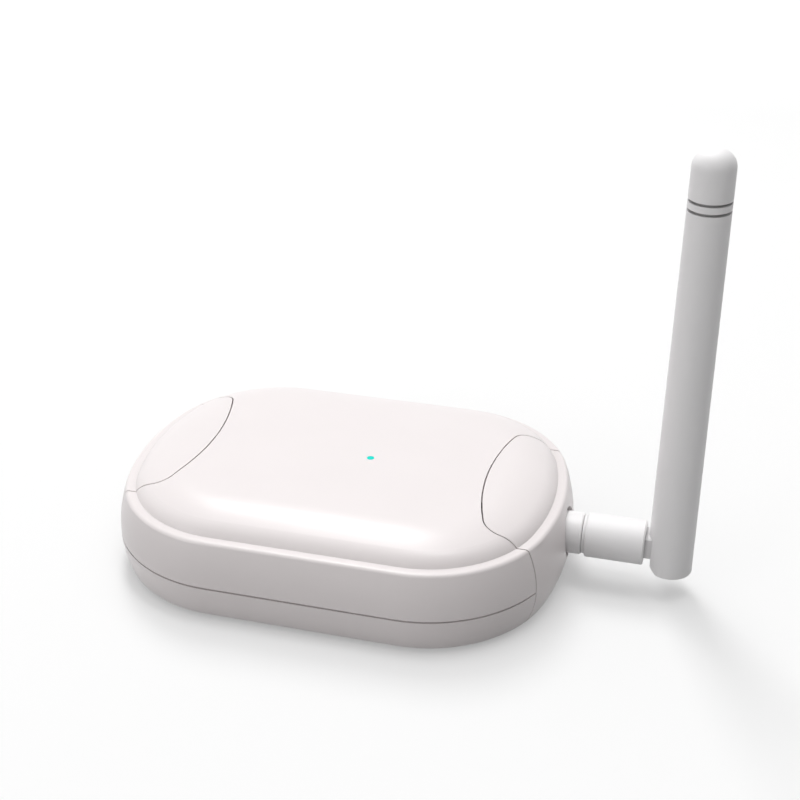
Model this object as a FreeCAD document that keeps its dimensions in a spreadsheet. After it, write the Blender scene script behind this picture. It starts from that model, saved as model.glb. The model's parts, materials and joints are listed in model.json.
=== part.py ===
import FreeCAD, Part
import math
import os

import Sketcher
from FreeCAD import Placement, Rotation, Vector

# Indoor radio gateway: a rounded two-shell housing with an end cap on each
# short side and a folding antenna on the right one.
# Origin in the middle of the base underside, +X towards the antenna,
# +Y towards the back, +Z up, millimetres.

SIZES = [
    # Housing outline, seen from above
    ("housing_length", 104.0, "end to end at the parting line"),
    ("housing_width", 76.8, "front to back at the parting line"),
    ("end_depth", 31.1, "housing end to the straight part of a long side"),
    ("corner_radius", 30.0, "plan radius of the four corners"),
    # Housing section, seen from the end
    ("wall", 2.0, "skin thickness of all four shells"),
    ("foot_standoff", 1.0, "feet below the base underside"),
    ("parting_rise", 8.0, "base underside to the parting line"),
    ("rim_rise", 18.5, "base underside to the flat rim"),
    ("crown_rise", 4.1, "rim to the top of the crown"),
    ("crown_run", 11.1, "width of the curved edge of the crown"),
    ("knee_run", 8.2, "wide arc of that edge, up to where it steepens"),
    ("knee_drop", 1.55, "drop of the crown along the wide arc"),
    ("bottom_inset", 1.6, "how far the wall draws in at the base"),
    ("rim_inset", 2.0, "how far the wall draws in at the rim"),
    ("ledge_width", 2.1, "flat rim outside the crown"),
    ("rim_rounding", 0.9, "rounding of the rim edge"),
    ("base_rounding", 0.8, "rounding of the base edge"),
    ("seam_gap", 0.32, "visible joint between a cap and the covers"),
    ("parting_gap", 0.42, "visible joint between the two covers"),
    # End caps
    ("cap_depth", 19.3, "housing end to the middle of the cap seam"),
    ("cap_half_width", 21.2, "middle line to the straight part of the seam"),
    ("seam_radius", 61.0, "radius of the long curve of the seam"),
    ("seam_corner", 4.0, "rounding between the curve and the straight"),
    ("tongue_reach", 3.4, "cap tongue under the neighbouring skin"),
    ("tongue_root", 3.0, "cap tongue under the cap itself"),
    ("tongue_half_width", 9.0, "half the width of a cap tongue"),
    ("tongue_thickness", 1.5, "thickness of a cap tongue"),
    ("catch_height", 0.6, "ridge that snaps into the skin"),
    ("catch_width", 1.0, "width of that ridge"),
    ("catch_margin", 0.7, "ridge to the end of the tongue"),
    ("catch_clearance", 0.1, "room round the ridge in its groove"),
    # Lip that locates the top cover on the base
    ("lip_height", 1.8, "lip above and below the parting line"),
    ("lip_thickness", 1.1, "lip wall"),
    ("lip_clearance", 0.1, "lip to the inside of the top cover"),
    # Case screws and their posts
    ("case_screw_end", 35.0, "screw from the housing end"),
    ("case_screw_side", 7.2, "screw from the long side of the housing"),
    ("case_post_radius", 3.4, "post of the base round a screw"),
    ("case_boss_radius", 3.0, "boss of the top cover over a post"),
    ("case_head_radius", 2.1, "pan head"),
    ("case_head_height", 1.6, "pan head"),
    ("case_head_sink", 3.6, "base underside to the seat of the head"),
    ("case_head_clearance", 0.3, "room round the head in its recess"),
    ("case_shank_radius", 1.25, "screw shank"),
    ("case_shank_length", 10.0, "seat of the head to the tip"),
    ("case_hole_clearance", 0.15, "shank in the post"),
    ("thread_clearance", 0.05, "shank in the pilot hole of a boss"),
    ("pilot_runout", 1.5, "pilot hole beyond the tip of a screw"),
    # Rubber feet
    ("foot_end", 22.0, "foot from the housing end"),
    ("foot_side", 10.9, "foot from the long side of the housing"),
    ("foot_radius", 4.5, "foot"),
    ("foot_recess", 0.8, "depth of the seat in the base"),
    ("foot_clearance", 0.1, "foot in its seat"),
    ("foot_chamfer", 0.3, "lower edge of a foot"),
    # Air slots in the base
    ("slot_half_width", 0.9, "half the width of an air slot"),
    ("slot_half_length", 5.0, "half the straight length of an air slot"),
    ("slot_offset", 9.0, "row of slots from the long line"),
    ("slot_row", 30.0, "first to last slot of a row"),
    ("slot_pitch", 5.0, "slot to slot"),
    # Circuit board
    ("board_thickness", 1.6, "main board"),
    ("board_side_margin", 10.9, "side of the board to the long side of the housing"),
    ("board_end_margin", 6.0, "left edge of the board to the housing end"),
    ("board_left_nose", 17.0, "half width of the left edge of the board"),
    ("board_right_nose", 21.0, "half width of the right edge of the board"),
    ("board_right_bevel", 6.5, "bevel of the right corners along the board"),
    ("board_screw_end", 24.0, "board screw from the housing end"),
    ("board_screw_side", 5.5, "board screw from the side of the board"),
    ("board_post_radius", 2.75, "post under the board"),
    ("board_shank_radius", 1.1, "board screw"),
    ("board_shank_length", 6.0, "board screw below its head"),
    ("board_head_radius", 2.0, "board screw"),
    ("board_head_height", 1.3, "board screw"),
    ("board_hole_clearance", 0.15, "screw in the board"),
    # Radio module with its can
    ("radio_inset", 18.45, "middle of the radio module to the right edge of the board"),
    ("radio_length", 24.0, "along the housing"),
    ("radio_width", 30.0, "across the housing"),
    ("module_thickness", 1.0, "board of either module"),
    ("radio_can_length", 20.0, "along the housing"),
    ("radio_can_width", 25.0, "across the housing"),
    ("can_height", 2.4, "shield cans"),
    ("can_sheet", 0.3, "sheet of the shield cans"),
    # Network module with its can
    ("network_inset", 36.5, "middle of the network module to the left edge of the board"),
    ("network_margin", 0.2, "network module to the side of the board"),
    ("network_length", 18.0, "along the housing"),
    ("network_width", 25.4, "across the housing"),
    ("network_can_length", 15.8, "along the housing"),
    ("network_can_width", 17.6, "across the housing"),
    ("can_setback", 1.0, "can to the inner edge of its module"),
    # Power parts
    ("power_inset", 13.0, "middle of the choke and power chip to the left edge of the board"),
    ("coil_y", -13.0, "middle of the choke"),
    ("coil_size", 7.0, "side of the choke"),
    ("coil_height", 4.0, "choke"),
    ("coil_bevel", 1.2, "corner bevel of the choke"),
    ("capacitor_inset", 22.0, "first capacitor to the left edge of the board"),
    ("capacitor_y", 11.0, "row of capacitors"),
    ("capacitor_pitch", 8.0, "capacitor to capacitor"),
    ("capacitor_radius", 3.15, "capacitor can"),
    ("capacitor_height", 5.8, "capacitor can"),
    ("capacitor_foot", 0.8, "capacitor base plate"),
    ("regulator_y", 1.5, "middle of the power chip"),
    ("regulator_size", 5.0, "side of the power chip"),
    ("regulator_height", 1.2, "power chip"),
    ("clock_gap", 3.5, "clock can to the radio module along the housing"),
    ("clock_margin", 7.9, "clock can to the side of the board"),
    ("clock_length", 5.0, "clock can"),
    ("clock_width", 3.2, "clock can"),
    ("clock_height", 1.3, "clock can"),
    # Status lamp and its light pipe
    ("lamp_gap", 4.1, "lamp to the radio module"),
    ("lamp_length", 3.2, "lamp chip"),
    ("lamp_width", 1.6, "lamp chip"),
    ("lamp_height", 1.1, "lamp chip"),
    ("pipe_tip_radius", 0.8, "light pipe in the crown"),
    ("pipe_collar_radius", 1.5, "collar under the crown"),
    ("pipe_collar_height", 1.2, "collar under the crown"),
    ("pipe_stem_radius", 1.1, "stem down to the lamp"),
    ("pipe_clearance", 0.05, "pipe in the crown and in its socket"),
    ("pipe_lamp_gap", 0.15, "lamp to the end of the pipe"),
    ("socket_height", 3.2, "socket under the crown"),
    ("socket_wall", 1.0, "socket under the crown"),
    # Power inlet
    ("inlet_setback", 1.6, "housing end to the mouth of the inlet"),
    ("inlet_width", 8.94, "shell of the inlet"),
    ("inlet_height", 3.26, "shell of the inlet"),
    ("inlet_depth", 7.35, "shell of the inlet"),
    ("inlet_skin", 0.3, "shell thickness of the inlet"),
    ("inlet_rounding", 1.5, "outer corners of the shell"),
    ("inlet_clearance", 0.18, "shell in the end cap"),
    ("inlet_back", 1.1, "moulded block at the back of the inlet"),
    ("blade_setback", 0.8, "mouth of the inlet to its tongue"),
    ("blade_width", 6.69, "tongue of the inlet"),
    ("blade_thickness", 0.7, "tongue of the inlet"),
    ("plug_recess_width", 13.0, "shallow seat for the plug body"),
    ("plug_recess_height", 7.2, "shallow seat for the plug body"),
    ("plug_recess_floor", 1.3, "housing end to the floor of the seat"),
    # Reset button and its switch
    ("button_y", 11.0, "button from the long line"),
    ("button_proud", 0.35, "face of the button in front of the end wall"),
    ("button_radius", 1.5, "button"),
    ("button_clearance", 0.15, "button in its guide"),
    ("guide_wall", 1.1, "guide tube inside the end cap"),
    ("guide_reach", 0.85, "end of the guide behind the inside of the end wall"),
    ("button_flange_radius", 2.3, "flange behind the guide"),
    ("button_flange", 0.8, "flange thickness"),
    ("button_stem_radius", 0.9, "stem behind the flange"),
    ("button_stem", 0.5, "stem behind the flange"),
    ("button_rounding", 0.3, "face edge of the button"),
    ("button_height", 1.75, "button middle above the board"),
    ("nib_radius", 0.7, "moving nib of the switch"),
    ("nib_length", 1.3, "moving nib of the switch"),
    ("nib_proud", 0.7, "nib in front of the switch"),
    ("nib_clearance", 0.08, "nib in the switch"),
    ("nib_travel", 0.45, "free room behind the nib"),
    ("switch_width", 4.6, "switch across the nib"),
    ("switch_depth", 3.6, "switch along the nib"),
    ("switch_height", 3.5, "switch above the board"),
    # Antenna socket on the board
    ("connector_height", 10.5, "connector axis above the base underside"),
    ("collar_proud", 2.75, "coupling nut beyond the housing end"),
    ("nut_radius", 4.7, "coupling nut"),
    ("nut_hole_clearance", 1.0, "nut in the hole of the end cap"),
    ("nut_shoulder", 2.2, "inner shoulder of the nut"),
    ("nut_grip", 5.0, "nut over the socket thread"),
    ("nut_chamfer", 0.25, "inner edge of the nut"),
    ("nut_rounding", 0.5, "outer edge of the nut"),
    ("socket_radius", 3.1, "threaded barrel of the socket"),
    ("socket_bore", 2.05, "bore of the socket"),
    ("socket_thread", 7.5, "threaded barrel in front of the flange"),
    ("socket_flange", 2.6, "square flange"),
    ("socket_flange_side", 7.0, "square flange"),
    ("leg_length", 4.0, "solder legs on the board"),
    ("leg_thickness", 0.9, "solder legs on the board"),
    ("leg_inner", 2.0, "legs from the axis"),
    ("pin_radius", 0.45, "centre conductor"),
    ("pin_tail", 2.6, "centre conductor on the board"),
    ("contact_radius", 0.75, "spring contact in the socket"),
    ("contact_depth", 4.2, "hole of the spring contact"),
    ("running_fit", 0.05, "turning parts of the connector"),
    ("moulded_fit", 0.02, "parts moulded or pressed into each other"),
    # Antenna plug
    ("plug_flange", 0.9, "plug flange behind the nut shoulder"),
    ("plug_flange_radius", 3.0, "plug flange"),
    ("plug_neck_radius", 2.4, "plug neck through the nut"),
    ("plug_neck", 4.6, "plug neck inside the knuckle barrel"),
    ("plug_bore", 1.95, "bore of the plug"),
    ("plug_pin_reach", 3.6, "plug pin in the socket"),
    # Knuckle barrel with its hinge tongue
    ("groove_width", 0.75, "nut to the knuckle barrel"),
    ("groove_radius", 4.3, "collar of the barrel in the groove"),
    ("groove_play", 0.1, "nut to that collar"),
    ("barrel_radius", 5.0, "knuckle barrel"),
    ("barrel_length", 13.0, "knuckle barrel"),
    ("barrel_chamfer", 0.3, "edges of the knuckle barrel"),
    ("hinge_half_height", 2.65, "hinge tongue"),
    ("hinge_half_width", 2.6, "hinge tongue"),
    ("hinge_bevel", 0.3, "long edges of the hinge tongue"),
    ("hinge_side_clearance", 0.22, "tongue in the fork"),
    ("strip_half_width", 0.3, "contact strip in the tongue"),
    ("strip_half_height", 1.7, "contact strip in the tongue"),
    ("strip_margin", 0.9, "end of the strip to the end of the tongue"),
    ("strip_overlap", 1.0, "strip beside the plug pin"),
    # Hinge pin
    ("hinge_pin_radius", 0.9, "hinge pin"),
    ("hinge_pin_half_length", 4.1, "hinge pin"),
    # Whip
    ("whip_foot", 5.5, "hinge to the lower end of the whip"),
    ("knuckle_gap", 0.2, "room between the swinging heel and the barrel"),
    ("hinge_offset", 0.9, "hinge beyond the middle line of the whip"),
    ("whip_radius", 5.0, "lower end of the whip"),
    ("whip_tip_radius", 4.38, "whip at the upper ring"),
    ("whip_length", 95.9, "lower end to the tip"),
    ("ring_drop", 10.05, "tip to the upper ring"),
    ("ring_pitch", 1.9, "upper ring to lower ring"),
    ("ring_width", 0.6, "ring groove"),
    ("ring_depth", 1.1, "ring groove"),
    ("dome_radius", 3.6, "rounding of the tip"),
    ("yoke_inner", 3.15, "middle of the hinge to a yoke leg"),
    ("yoke_leg", 0.6, "thickness of a yoke leg"),
    ("yoke_half_width", 1.5, "yoke leg"),
    ("yoke_foot", 1.5, "hinge to the lower end of a leg"),
    ("yoke_head", 4.3, "hinge to the underside of the yoke bridge"),
    ("rod_radius", 0.75, "radiating rod"),
    ("rod_length", 82.0, "radiating rod"),
]

GATEWAY_NODES = []


class Size:
    """A length from the sheet: its number today and the formula behind it."""

    def __init__(self, value, formula):
        self.value = float(value)
        self.formula = formula

    def combined(self, other, sign, rule):
        if not isinstance(other, Size):
            other = Size(other, repr(other))
        formula = f"({self.formula} {sign} {other.formula})"
        return Size(rule(self.value, other.value), formula)

    def __add__(self, other):
        return self.combined(other, "+", lambda p, q: p + q)

    def __sub__(self, other):
        return self.combined(other, "-", lambda p, q: p - q)

    def __mul__(self, other):
        return self.combined(other, "*", lambda p, q: p * q)

    def __truediv__(self, other):
        return self.combined(other, "/", lambda p, q: p / q)

    def __rmul__(self, other):
        return Size(other, repr(other)) * self

    def __neg__(self):
        return Size(0, "0") - self

    def root(self):
        return Size(math.sqrt(self.value), f"sqrt({self.formula})")


def fill_sheet(doc):
    """Write each driving size into the sheet and return it by name."""
    sheet = doc.addObject("Spreadsheet::Sheet", "Sizes")
    sizes = {}
    for row, (name, value, note) in enumerate(SIZES, 1):
        sheet.set(f"A{row}", note)
        sheet.set(f"B{row}", str(value))
        sheet.setAlias(f"B{row}", name)
        sizes[name] = Size(value, f"Sizes.{name}")
    doc.recompute()
    return sizes


doc = FreeCAD.newDocument("Gateway")
size = fill_sheet(doc)
zero = Size(0, "0")


def bind(thing, prop, length):
    """Tie one property of an object to a sheet formula."""
    thing.setExpression(prop, length.formula)


def place(thing, x=None, y=None, z=None, turn=None):
    """Put an object at a place given by sheet formulas."""
    if turn is not None:
        thing.Placement = Placement(Vector(), turn)
    for axis, length in (("x", x), ("y", y), ("z", z)):
        if length is not None:
            bind(thing, f"Placement.Base.{axis}", length)
    return thing


def origin_feature(body, role):
    return [f for f in body.Origin.OriginFeatures if f.Role == role][0]


def new_body(name, **where):
    return place(doc.addObject("PartDesign::Body", name), **where)


def new_sketch(body, name, plane, height=None):
    sketch = body.newObject("Sketcher::SketchObject", name)
    sketch.AttachmentSupport = (origin_feature(body, plane), [""])
    sketch.MapMode = "FlatFace"
    if height is not None:
        bind(sketch, "AttachmentOffset.Base.z", height)
    return sketch


def tie(sketch, kind, items, length):
    """Add one constraint whose value follows the sheet."""
    index = sketch.addConstraint(Sketcher.Constraint(kind, *items, length.value))
    name = f"{kind}_{index}"
    sketch.renameConstraint(index, name)
    sketch.setExpression(f"Constraints.{name}", length.formula)


def bent_edge(start, end, radius, side):
    """The shorter arc between two points, its centre left (1) or right (-1).

    It is drawn anticlockwise, so from the end to the start if its centre is right.
    """
    chord = end - start
    middle = (start + end) * 0.5
    rise = math.sqrt(max(radius**2 - chord.Length**2 / 4, 0))
    across = Vector(-chord.y, chord.x, 0).normalize()
    centre = middle + across * (rise * side)
    outward = middle - centre
    if outward.Length < 1e-9:
        outward = across * -side
    first, last = (start, end) if side > 0 else (end, start)
    return Part.Arc(first, centre + outward.normalize() * radius, last)


def add_path(sketch, path):
    """Closed loop of corners (x, y), or (x, y, radius, side) before an arc.

    A half circle is held by its centre, every other arc by its radius.
    """
    corners = [Vector(step[0].value, step[1].value, 0) for step in path]
    count = len(path)
    edges = []
    for i, step in enumerate(path):
        start, end = corners[i], corners[(i + 1) % count]
        if len(step) == 4:
            arc = bent_edge(start, end, step[2].value, step[3])
            edge = sketch.addGeometry(arc)
            forward = (sketch.Geometry[edge].StartPoint - start).Length < 1e-6
            edges.append((edge, 1, 2) if forward else (edge, 2, 1))
            if (end - start).Length < 2 * step[2].value - 1e-6:
                tie(sketch, "Radius", (edge,), step[2])
            elif abs(end.x - start.x) < 1e-6:
                tie(sketch, "DistanceX", (-1, 1, edge, 3), step[0])
            else:
                tie(sketch, "DistanceY", (-1, 1, edge, 3), step[1])
        else:
            edges.append((sketch.addGeometry(Part.LineSegment(start, end)), 1, 2))
    for i, step in enumerate(path):
        edge, first, last = edges[i]
        after, after_first, after_last = edges[(i + 1) % count]
        sketch.addConstraint(Sketcher.Constraint("Coincident", edge, last, after, after_first))
        tie(sketch, "DistanceX", (-1, 1, edge, first), step[0])
        tie(sketch, "DistanceY", (-1, 1, edge, first), step[1])
    return sketch


def add_circle(sketch, x, y, radius):
    circle = Part.Circle(Vector(x.value, y.value, 0), Vector(0, 0, 1), radius.value)
    edge = sketch.addGeometry(circle)
    tie(sketch, "Radius", (edge,), radius)
    tie(sketch, "DistanceX", (-1, 1, edge, 3), x)
    tie(sketch, "DistanceY", (-1, 1, edge, 3), y)
    return sketch


def box_path(left, right, low, high):
    return [(left, low), (right, low), (right, high), (left, high)]


def bevelled_path(half_x, half_y, bevel):
    """Rectangle about the origin with its corners cut at 45 degrees."""
    return [
        (half_x, bevel - half_y),
        (half_x, half_y - bevel),
        (half_x - bevel, half_y),
        (bevel - half_x, half_y),
        (-half_x, half_y - bevel),
        (-half_x, bevel - half_y),
        (bevel - half_x, -half_y),
        (half_x - bevel, -half_y),
    ]


def rounded_path(half_x, half_y, radius):
    """Rectangle about the origin with round corners."""
    inner_x = half_x - radius
    inner_y = half_y - radius
    return [
        (half_x, -inner_y),
        (half_x, inner_y, radius, 1),
        (inner_x, half_y),
        (-inner_x, half_y, radius, 1),
        (-half_x, inner_y),
        (-half_x, -inner_y, radius, 1),
        (-inner_x, -half_y),
        (inner_x, -half_y, radius, 1),
    ]


def pad(body, sketch, length, both_ways=False, backwards=False):
    feature = body.newObject("PartDesign::Pad", sketch.Name + "Pad")
    feature.Profile = sketch
    bind(feature, "Length", length)
    feature.Midplane = both_ways
    feature.Reversed = backwards
    return feature


def pocket(body, sketch, length, both_ways=False, backwards=False):
    doc.recompute()
    before = body.Shape.Volume
    feature = body.newObject("PartDesign::Pocket", sketch.Name + "Pocket")
    feature.Profile = sketch
    bind(feature, "Length", length)
    feature.Midplane = both_ways
    feature.Reversed = backwards
    doc.recompute()
    if not body.Shape.Volume < before:
        raise RuntimeError(f"{feature.Name} removes nothing")
    return feature


def turned(name, profile, axis="X_Axis", body=None, **where):
    """Revolved body; the profile gives (along, radius), or (radius, z) for Z."""
    body = body or new_body(name, **where)
    sketch = add_path(new_sketch(body, name + "Profile", "XZ_Plane"), profile)
    feature = body.newObject("PartDesign::Revolution", name + "Turn")
    feature.Profile = sketch
    feature.ReferenceAxis = (origin_feature(body, axis), [""])
    feature.Angle = 360
    return body


def block(name, half_x, half_y, height, bevel=None, **where):
    """Flat box standing on its placement, its corners bevelled if asked."""
    body = new_body(name, **where)
    path = box_path(-half_x, half_x, -half_y, half_y)
    if bevel is not None:
        path = bevelled_path(half_x, half_y, bevel)
    pad(body, add_path(new_sketch(body, name + "Plan", "XY_Plane"), path), height)
    return body


def cylinder(name, radius, height, **where):
    tool = doc.addObject("Part::Cylinder", name)
    bind(tool, "Radius", radius)
    bind(tool, "Height", height)
    return place(tool, **where)


def cuboid(name, left, right, front, back, low, high):
    tool = doc.addObject("Part::Box", name)
    bind(tool, "Length", right - left)
    bind(tool, "Width", back - front)
    bind(tool, "Height", high - low)
    return place(tool, x=left, y=front, z=low)


def joined(name, things):
    result = doc.addObject("Part::MultiFuse", name)
    result.Shapes = things
    return result


def grouped(name, things):
    result = doc.addObject("Part::Compound", name)
    result.Links = things
    return result


def less(name, base, tools):
    result = doc.addObject("Part::Cut", name)
    result.Base = base
    result.Tool = tools[0] if len(tools) == 1 else grouped(name + "Tools", tools)
    return result


def shared(name, base, tool):
    result = doc.addObject("Part::Common", name)
    result.Base = base
    result.Tool = tool
    return result


def mirrored(name, thing, normal):
    result = doc.addObject("Part::Mirroring", name)
    result.Source = thing
    result.Normal = normal
    return result


def both_ends(name, thing):
    return grouped(name, [thing, mirrored(name + "Left", thing, Vector(1, 0, 0))])


def four_corners(name, thing):
    """The same thing at plus and minus its x and y."""
    pair = both_ends(name + "Pair", thing)
    return grouped(name, [pair, mirrored(name + "Front", pair, Vector(0, 1, 0))])


def node(thing, label):
    """Mark an object as a finished piece of the gateway."""
    thing.Label = label
    GATEWAY_NODES.append(thing)
    return thing


LEFT = 1
RIGHT = -1
ALONG_X = Rotation(Vector(0, 1, 0), 90)

# Places that several pieces share
half_length = size["housing_length"] / 2
half_width = size["housing_width"] / 2
half_side = half_length - size["end_depth"]
corner = size["corner_radius"]
corner_y = half_width - corner
end_run = size["end_depth"]
end_radius = (corner * corner - end_run * end_run - corner_y * corner_y) / (2 * (corner - end_run))
end_centre = half_length - end_radius

base_z = zero
floor_z = base_z + size["wall"]
parting_z = base_z + size["parting_rise"]
rim_z = base_z + size["rim_rise"]
crown_z = rim_z + size["crown_rise"]
ceiling_z = crown_z - size["wall"]
half_gap = size["parting_gap"] / 2
rim_x = half_length - size["rim_inset"]
crown_foot_x = rim_x - size["ledge_width"]
crown_flat_x = crown_foot_x - size["crown_run"]
knee_run = size["knee_run"]
knee_drop = size["knee_drop"]

axis_z = size["connector_height"]
board_top = axis_z - size["pin_radius"]
board_bottom = board_top - size["board_thickness"]
nut_end = half_length + size["collar_proud"]
plug_flange_end = nut_end - size["nut_shoulder"] - size["running_fit"]
plug_face = plug_flange_end - size["plug_flange"]
socket_end = plug_face - size["running_fit"]
flange_face = socket_end - size["socket_thread"]
board_right = flange_face - size["socket_flange"]
board_left = size["board_end_margin"] - half_length
board_side = half_width - size["board_side_margin"]
screw_x = half_length - size["board_screw_end"]
screw_y = board_side - size["board_screw_side"]
radio_x = board_right - size["radio_inset"]
radio_edge = radio_x - size["radio_length"] / 2
lamp_x = radio_edge - size["lamp_gap"] - size["lamp_length"] / 2
barrel_start = nut_end + size["groove_width"]
barrel_end = barrel_start + size["barrel_length"]
whip_x = barrel_end + size["whip_foot"] + size["knuckle_gap"]
hinge_x = whip_x + size["hinge_offset"]


# Housing forms

def outline(inset):
    """Plan of the housing drawn in by an inset: nine edges, all tangent."""
    share = (half_side - end_centre) / (end_radius - corner)
    end = end_radius - inset
    turn = corner - inset
    join_x = end_centre + end * share
    join_y = end * corner_y / (end_radius - corner)
    side_y = half_width - inset
    return [
        (half_length - inset, zero, end, LEFT),
        (join_x, join_y, turn, LEFT),
        (half_side, side_y),
        (-half_side, side_y, turn, LEFT),
        (-join_x, join_y, end, LEFT),
        (-join_x, -join_y, turn, LEFT),
        (-half_side, -side_y),
        (half_side, -side_y, turn, LEFT),
        (join_x, -join_y, end, LEFT),
    ]


def bulge(rise, inset):
    """Radius of a wall arc that starts upright and draws in by an inset."""
    return (rise * rise + inset * inset) / (2 * inset)


def housing_form(name, skin, rounded):
    """The whole housing as one solid, each surface moved in by a skin."""
    lower_bulge = bulge(size["parting_rise"], size["bottom_inset"]) - skin
    upper_bulge = bulge(size["rim_rise"] - size["parting_rise"], size["rim_inset"]) - skin
    wide = bulge(knee_run, knee_drop)
    lean = knee_run / wide
    upright = (wide - knee_drop) / wide
    steep_run = size["crown_run"] - knee_run
    steep_drop = size["crown_rise"] - knee_drop
    steep = (steep_run * steep_run + steep_drop * steep_drop) / (
        2 * (steep_drop * upright - steep_run * lean)
    )
    steep_x = crown_flat_x + (wide - steep) * lean
    steep_z = crown_z - wide + (wide - steep) * upright
    share = (steep - skin) / steep
    profile = [
        (crown_flat_x, base_z + skin),
        (half_length - size["bottom_inset"] - skin, base_z + skin, lower_bulge, LEFT),
        (half_length - skin, parting_z, upper_bulge, LEFT),
        (rim_x - skin, rim_z - skin),
        (
            steep_x + (crown_foot_x - steep_x) * share,
            steep_z + (rim_z - steep_z) * share,
            steep - skin,
            LEFT,
        ),
        (
            crown_flat_x + (wide - skin) * lean,
            crown_z - wide + (wide - skin) * upright,
            wide - skin,
            LEFT,
        ),
        (crown_flat_x, crown_z - skin),
    ]
    body = new_body(name)
    sweep = body.newObject("PartDesign::AdditivePipe", name + "Sweep")
    sweep.Profile = add_path(new_sketch(body, name + "Section", "XZ_Plane"), profile)
    sweep.Spine = (add_path(new_sketch(body, name + "Outline", "XY_Plane"), outline(zero)), [])
    core = new_sketch(body, name + "Core", "XY_Plane", base_z + skin)
    add_path(core, outline(half_length - crown_flat_x))
    pad(body, core, crown_z - base_z - 2 * skin)
    if rounded:
        round_edges(body, name + "Rim", rim_z, rim_x, size["rim_rounding"])
        base_x = half_length - size["bottom_inset"]
        round_edges(body, name + "Foot", base_z, base_x, size["base_rounding"])
    return body


def round_edges(body, name, height, reach, radius):
    """Round the level outline edges that lie at one height."""
    doc.recompute()
    picked = []
    for i, edge in enumerate(body.Shape.Edges, 1):
        level = all(abs(v.Z - height.value) < 1e-4 for v in edge.Vertexes)
        bounds = edge.BoundBox
        far = max(abs(bounds.XMin), abs(bounds.XMax)) / reach.value
        side = max(abs(bounds.YMin), abs(bounds.YMax))
        side = side / (half_width.value - half_length.value + reach.value)
        if level and bounds.ZLength < 1e-4 and max(far, side) > 0.9999:
            picked.append(f"Edge{i}")
    solid = body.Tip
    feature = body.newObject("PartDesign::Fillet", name + "Rounding")
    feature.Base = (solid, picked)
    bind(feature, "Radius", radius)
    return feature


outer_form = housing_form("OuterForm", zero, True)
inner_form = housing_form("InnerForm", size["wall"], False)
shell = less("Shell", outer_form, [inner_form])

# Zone of an end cap in plan, the same for the cap and, grown, for its neighbours

seam_x = half_length - size["cap_depth"]


def cap_zone(name, grow):
    reach = size["seam_radius"] + grow
    turn = size["seam_corner"] + grow
    side = size["cap_half_width"] + grow
    centre_x = seam_x + size["seam_radius"]
    span = reach - turn
    turn_y = side - turn
    run = (span * span - turn_y * turn_y).root()
    turn_x = centre_x - run
    join_x = centre_x - run * reach / span
    join_y = turn_y * reach / span
    beyond = half_length + size["wall"]
    body = new_body(name)
    sketch = new_sketch(body, name + "Plan", "XY_Plane")
    add_path(sketch, [
        (turn_x, -side),
        (beyond, -side),
        (beyond, side),
        (turn_x, side, turn, LEFT),
        (join_x, join_y, reach, LEFT),
        (join_x, -join_y, turn, LEFT),
    ])
    pad(body, sketch, crown_z + size["wall"])
    return body


cap_space = cap_zone("CapSpace", zero)
cap_clear = both_ends("CapClear", cap_zone("CapClearRight", size["seam_gap"]))


# Cap tongues, which slide under the skins and snap into a groove

tongue_end = seam_x - size["tongue_reach"]
catch_start = tongue_end + size["catch_margin"]
catch_end = catch_start + size["catch_width"]


def cap_tongue(name, skin_z, inward):
    """Tongue against a skin face, inward +1 above the floor, -1 under the top."""
    back = skin_z + size["tongue_thickness"] * inward
    ridge = skin_z - size["catch_height"] * inward
    root = seam_x + size["tongue_root"]
    body = new_body(name)
    sketch = add_path(new_sketch(body, name + "Section", "XZ_Plane"), [
        (root, back),
        (tongue_end, back),
        (tongue_end, skin_z),
        (catch_start, skin_z),
        (catch_start, ridge),
        (catch_end, ridge),
        (catch_end, skin_z),
        (root, skin_z),
    ])
    pad(body, sketch, 2 * size["tongue_half_width"], both_ways=True)
    return body


def catch_groove(name, skin_z, inward):
    play = size["catch_clearance"]
    depth = size["catch_height"] + play
    reach = size["tongue_half_width"] + play
    low = skin_z - depth if inward > 0 else skin_z
    return both_ends(name, cuboid(
        name + "Right", catch_start - play, catch_end + play, -reach, reach, low, low + depth
    ))


cap_blank = joined("CapBlank", [
    shared("CapSkin", shell, cap_space),
    cap_tongue("CapTopTongue", ceiling_z, -1),
    cap_tongue("CapFloorTongue", floor_z, 1),
])

nut_hole = cylinder(
    "NutHole", size["nut_radius"] + size["nut_hole_clearance"], size["cap_depth"],
    x=half_length - size["cap_depth"] / 2, z=axis_z, turn=ALONG_X,
)
node(less("RightCap", cap_blank, [nut_hole]), "right_end_cap")

# Left cap, with the power inlet and the reset button

inlet_z = board_top + size["inlet_height"] / 2
button_z = board_top + size["button_height"]
button_y = size["button_y"]


def end_wall(y, z, skin):
    """Where the upper end wall, moved in by a skin, stands at one place."""
    upright = bulge(size["rim_rise"] - size["parting_rise"], size["rim_inset"]) - skin
    above = z - parting_z
    drawn_in = skin + upright - (upright * upright - above * above).root()
    radius = end_radius - drawn_in
    return half_length - end_radius + (radius * radius - y * y).root()


flange_side = button_y + size["button_flange_radius"]
guide_end_x = size["guide_reach"] - end_wall(flange_side, button_z, size["wall"])


def slot_tool(name, half_y, half_z, radius, start_x, end_x, z):
    """Round-cornered opening along X."""
    body = new_body(name, z=z)
    sketch = new_sketch(body, name + "Section", "YZ_Plane", start_x)
    pad(body, add_path(sketch, rounded_path(half_y, half_z, radius)), end_x - start_x)
    return body


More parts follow.
